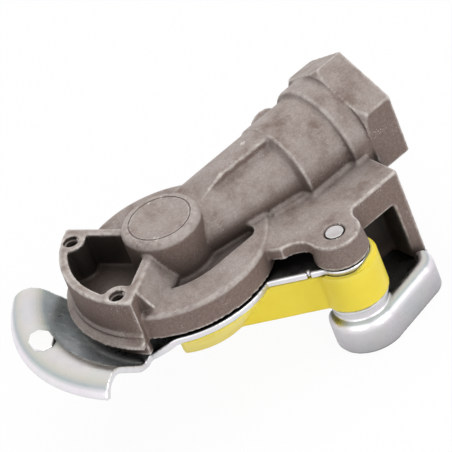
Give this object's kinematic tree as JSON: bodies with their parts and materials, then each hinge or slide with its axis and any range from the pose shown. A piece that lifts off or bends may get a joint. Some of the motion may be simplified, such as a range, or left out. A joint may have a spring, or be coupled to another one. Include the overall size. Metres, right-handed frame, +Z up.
{
  "type": "gladhand air brake coupler",
  "caption": "Cast palm coupling head for a trailer air brake line, with a threaded hex port and a sprung cover that swings aside on a pin.",
  "frame": {"origin": "on the axis of the palm, in its sealing face", "axes": "+X along the air port, out of its mouth; +Z up, away from the mating head; +Y away from the cover pin"},
  "size_m": [0.1129, 0.0807, 0.0549],
  "materials": {
    "cast_aluminium": "matt cast",
    "zinc_plate": "bright zinc plate",
    "plain_steel": "satin",
    "yellow_plastic": "semi-matt",
    "seal_rubber": "matt"
  },
  "bodies": {
    "head": {"body": "cast_aluminium", "seal_ring": "seal_rubber", "pivot_pin": "zinc_plate", "pin_bush": "plain_steel", "pin_washer": "zinc_plate", "claw": "zinc_plate", "claw_rivet": "zinc_plate"},
    "cover": {"cover_plate": "zinc_plate", "cover_cap": "yellow_plastic", "cover_spring": "plain_steel"}
  },
  "joints": [
    {"name": "cover_swing", "type": "hinge", "parent": "head", "child": "cover", "pos_m": [0.0274, -0.0349, -0.0087], "axis": [0, 0, 1], "range_deg": [0, 100], "stiffness_Nm_per_rad": 0.05, "springref_deg": -57.3}
  ]
}
